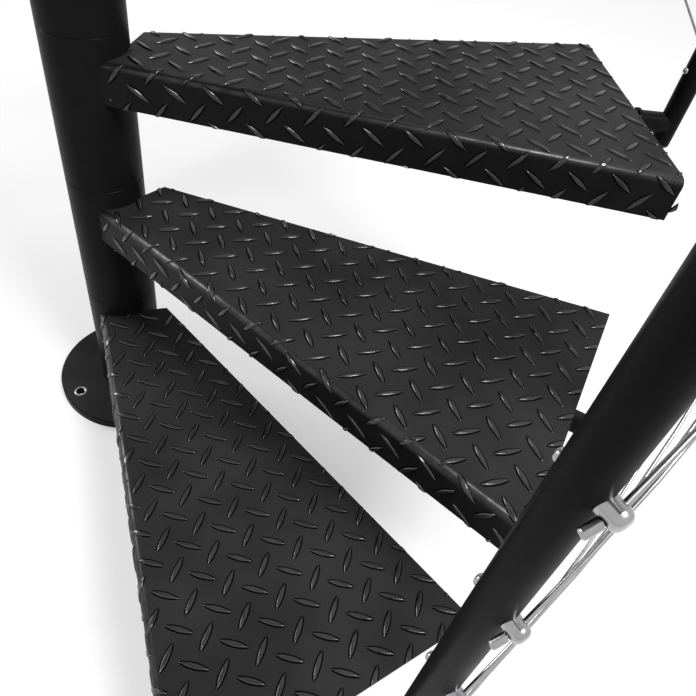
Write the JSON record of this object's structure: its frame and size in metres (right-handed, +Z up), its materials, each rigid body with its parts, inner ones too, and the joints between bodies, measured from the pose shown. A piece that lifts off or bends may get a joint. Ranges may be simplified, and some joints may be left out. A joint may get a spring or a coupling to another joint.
{
  "type": "spiral staircase",
  "caption": "Spiral staircase in black coated steel with chequer plate treads around a sleeved column, slim balusters and stainless rods.",
  "frame": {"origin": "centre of the base flange's underside, on the column axis", "axes": "+Z up along the column, +X along the centre line of the first tread, the flight climbing anticlockwise from there"},
  "size_m": [1.6383, 1.5244, 3.532],
  "materials": {
    "black_tread_coat": "satin",
    "black_column_coat": "satin",
    "black_plastic": "matte",
    "stainless_steel": "brushed"
  },
  "bodies": {
    "root": {"baluster_bushes": "black_column_coat", "baluster_end_plugs": "black_plastic", "balusters": "black_column_coat", "base_flange": "black_column_coat", "centre_pole": "black_column_coat", "column_cap": "black_plastic", "column_sleeve_01": "black_column_coat", "column_sleeve_02": "black_column_coat", "column_sleeve_03": "black_column_coat", "column_sleeve_04": "black_column_coat", "column_sleeve_05": "black_column_coat", "column_sleeve_06": "black_column_coat", "column_sleeve_07": "black_column_coat", "column_sleeve_08": "black_column_coat", "column_sleeve_09": "black_column_coat", "column_sleeve_10": "black_column_coat", "column_sleeve_11": "black_column_coat", "column_sleeve_12": "black_column_coat", "column_sleeve_13": "black_column_coat", "column_top_sleeve": "black_column_coat", "handrail": "black_column_coat", "handrail_end_caps": "black_plastic", "handrail_supports": "black_column_coat", "landing_plate": "black_tread_coat", "landing_post_feet": "black_column_coat", "landing_posts": "black_column_coat", "landing_rail": "black_column_coat", "landing_ribs": "black_tread_coat", "landing_rods": "stainless_steel", "rail_rods": "stainless_steel", "rod_end_caps": "stainless_steel", "rod_holders": "stainless_steel", "tread_01": "black_tread_coat", "tread_02": "black_tread_coat", "tread_03": "black_tread_coat", "tread_04": "black_tread_coat", "tread_05": "black_tread_coat", "tread_06": "black_tread_coat", "tread_07": "black_tread_coat", "tread_08": "black_tread_coat", "tread_09": "black_tread_coat", "tread_10": "black_tread_coat", "tread_11": "black_tread_coat", "tread_12": "black_tread_coat", "tread_ribs": "black_tread_coat"}
  },
  "joints": []
}
